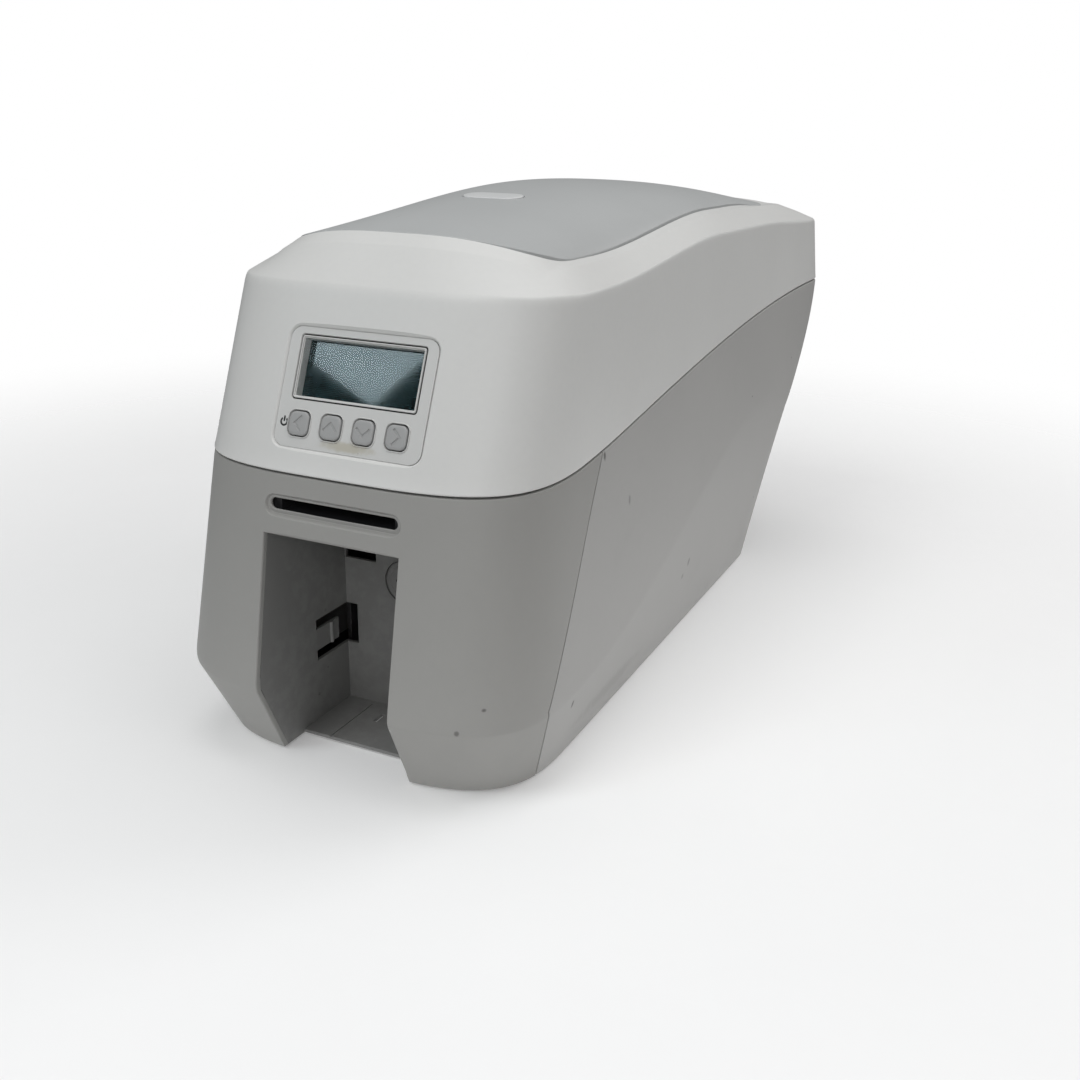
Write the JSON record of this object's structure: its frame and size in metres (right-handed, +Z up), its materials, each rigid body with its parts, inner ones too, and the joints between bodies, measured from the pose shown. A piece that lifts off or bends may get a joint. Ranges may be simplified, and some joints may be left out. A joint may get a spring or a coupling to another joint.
{
  "type": "id card printer",
  "caption": "Desktop id card printer with a hinged cover, front card bay, hand-feed slot, display and keys.",
  "frame": {"origin": "centre of the outer box at the level of the feet", "axes": "+X to the printer's right seen from its front, +Y from the front to the rear, +Z up"},
  "size_m": [0.197, 0.4594, 0.243],
  "materials": {
    "housing": "fine spark-eroded texture, mid grey",
    "fascia": "fine spark-eroded texture, mid grey",
    "bay": "smooth moulded grey",
    "cover": "off-white, satin, slightly yellowed at the keys",
    "top_panel": "light cool grey, satin",
    "bezel": "light grey, handled",
    "window": "clear screen window",
    "lcd": "dark teal screen, switched off",
    "keys": "grey key caps with embossed arrows",
    "button": "pale satin button",
    "circuit": "green circuit board",
    "inner_plastic": "black moulded plastic",
    "feet_rubber": "black rubber",
    "roller_rubber": "ground black rubber",
    "sheet_steel": "zinc-plated sheet",
    "bright_steel": "ground steel",
    "lid_metal": "dark coated steel",
    "motor_case": "black laminated steel",
    "brass_parts": "sintered bronze and brass",
    "gear_plastic": "natural acetal",
    "alloy": "extruded, plain",
    "ceramic": "glazed ceramic strip",
    "film": "dark dye film",
    "cleaning_rubber": "tacky blue roller"
  },
  "bodies": {
    "base": {"base_shell": "housing", "front_fascia": "fascia", "hopper_bay": "bay", "bay_plug": "bay", "slot_guide": "inner_plastic", "base_tray": "inner_plastic", "rubber_feet": "feet_rubber", "chassis_plate_left": "sheet_steel", "chassis_plate_right": "sheet_steel", "card_deck": "inner_plastic", "exit_chute": "inner_plastic", "shaft_bushes": "brass_parts", "idler_stud": "bright_steel", "drive_motor": "motor_case", "drive_belts": "roller_rubber", "main_board": "circuit", "socket_panel": "inner_plastic", "power_inlet": "inner_plastic", "usb_socket": "bright_steel", "network_socket": "bright_steel", "hinge_brackets": "sheet_steel", "hinge_pins": "bright_steel", "chassis_screws": "bright_steel", "ribbon_web": "film"},
    "platen": {"platen_shaft": "bright_steel", "platen_rubber": "roller_rubber", "platen_gear": "gear_plastic"},
    "feed_roller_front": {"feed_shaft_front": "bright_steel", "feed_tyres_front": "roller_rubber", "feed_pulley_front": "gear_plastic"},
    "feed_roller_rear": {"feed_shaft_rear": "bright_steel", "feed_tyres_rear": "roller_rubber", "feed_pulley_rear": "gear_plastic"},
    "idler": {"idler_gear": "gear_plastic"},
    "motor_rotor": {"motor_pinion": "brass_parts"},
    "pinch_front": {"pinch_roller_front": "bright_steel"},
    "pinch_rear": {"pinch_roller_rear": "bright_steel"},
    "cleaner": {"cleaning_roller": "cleaning_rubber"},
    "supply": {"supply_spool": "inner_plastic", "supply_film": "film"},
    "take_up": {"take_up_spool": "inner_plastic", "take_up_film": "film"},
    "lid": {"lid_shell": "cover", "top_panel": "top_panel", "display_bezel": "bezel", "display_window": "window", "lcd_module": "lcd", "keypad_board": "circuit", "lid_frame": "inner_plastic", "hinge_arms": "lid_metal", "printhead_bracket": "lid_metal", "heat_sink": "alloy", "print_bar": "ceramic"},
    "latch": {"latch_bar": "sheet_steel", "latch_hooks": "sheet_steel"},
    "button": {"release_button": "button"},
    "left_key": {"key_left": "keys"},
    "up_key": {"key_up": "keys"},
    "down_key": {"key_down": "keys"},
    "right_key": {"key_right": "keys"}
  },
  "joints": [
    {"name": "lid_hinge", "type": "hinge", "parent": "base", "child": "lid", "pos_m": [0, 0.22471, 0.1774], "axis": [-1, 0, 0], "range_deg": [0, 72]},
    {"name": "release_press", "type": "slide", "parent": "lid", "child": "button", "axis": [0, 0.0974, -0.9952], "range_m": [0, 0.004], "stiffness_N_per_m": 700},
    {"name": "latch_turn", "type": "hinge", "parent": "lid", "child": "latch", "pos_m": [0, -0.10029, 0.195], "axis": [-1, 0, 0], "range_deg": [0, 8.03]},
    {"name": "platen_spin", "type": "hinge", "parent": "base", "child": "platen", "pos_m": [0, -0.00029, 0.111], "axis": [1, 0, 0], "continuous": true},
    {"name": "feed_front_spin", "type": "hinge", "parent": "base", "child": "feed_roller_front", "pos_m": [0, -0.11029, 0.113], "axis": [1, 0, 0], "continuous": true},
    {"name": "feed_rear_spin", "type": "hinge", "parent": "base", "child": "feed_roller_rear", "pos_m": [0, 0.10971, 0.113], "axis": [1, 0, 0], "continuous": true},
    {"name": "idler_spin", "type": "hinge", "parent": "base", "child": "idler", "pos_m": [0, 0.0096, 0.08652], "axis": [1, 0, 0], "continuous": true},
    {"name": "motor_spin", "type": "hinge", "parent": "base", "child": "motor_rotor", "pos_m": [0, 0.01971, 0.07311], "axis": [1, 0, 0], "continuous": true},
    {"name": "pinch_front_spin", "type": "hinge", "parent": "base", "child": "pinch_front", "pos_m": [0, -0.11029, 0.1253], "axis": [1, 0, 0], "continuous": true},
    {"name": "pinch_rear_spin", "type": "hinge", "parent": "base", "child": "pinch_rear", "pos_m": [0, 0.10971, 0.1253], "axis": [1, 0, 0], "continuous": true},
    {"name": "cleaner_spin", "type": "hinge", "parent": "base", "child": "cleaner", "pos_m": [0, -0.13529, 0.1263], "axis": [1, 0, 0], "continuous": true},
    {"name": "supply_spin", "type": "hinge", "parent": "base", "child": "supply", "pos_m": [0, 0.07971, 0.15], "axis": [1, 0, 0], "continuous": true},
    {"name": "take_up_spin", "type": "hinge", "parent": "base", "child": "take_up", "pos_m": [0, -0.07829, 0.148], "axis": [1, 0, 0], "continuous": true},
    {"name": "left_key_press", "type": "slide", "parent": "lid", "child": "left_key", "axis": [0, 0.9277, -0.3733], "range_m": [0, 0.0005], "stiffness_N_per_m": 1000},
    {"name": "up_key_press", "type": "slide", "parent": "lid", "child": "up_key", "axis": [0, 0.9277, -0.3733], "range_m": [0, 0.0005], "stiffness_N_per_m": 1000},
    {"name": "down_key_press", "type": "slide", "parent": "lid", "child": "down_key", "axis": [0, 0.9277, -0.3733], "range_m": [0, 0.0005], "stiffness_N_per_m": 1000},
    {"name": "right_key_press", "type": "slide", "parent": "lid", "child": "right_key", "axis": [0, 0.9277, -0.3733], "range_m": [0, 0.0005], "stiffness_N_per_m": 1000}
  ],
  "couplings": [
    {"joint": "latch_turn", "follows": "release_press", "rad_per_m": 35},
    {"joint": "feed_front_spin", "follows": "platen_spin", "ratio": 1.3333},
    {"joint": "feed_rear_spin", "follows": "platen_spin", "ratio": 1.3333},
    {"joint": "idler_spin", "follows": "platen_spin", "ratio": -1.2},
    {"joint": "motor_spin", "follows": "platen_spin", "ratio": 3},
    {"joint": "pinch_front_spin", "follows": "platen_spin", "ratio": -1.6},
    {"joint": "pinch_rear_spin", "follows": "platen_spin", "ratio": -1.6},
    {"joint": "cleaner_spin", "follows": "platen_spin", "ratio": -1.3333},
    {"joint": "take_up_spin", "follows": "supply_spin", "ratio": 1.4615}
  ]
}
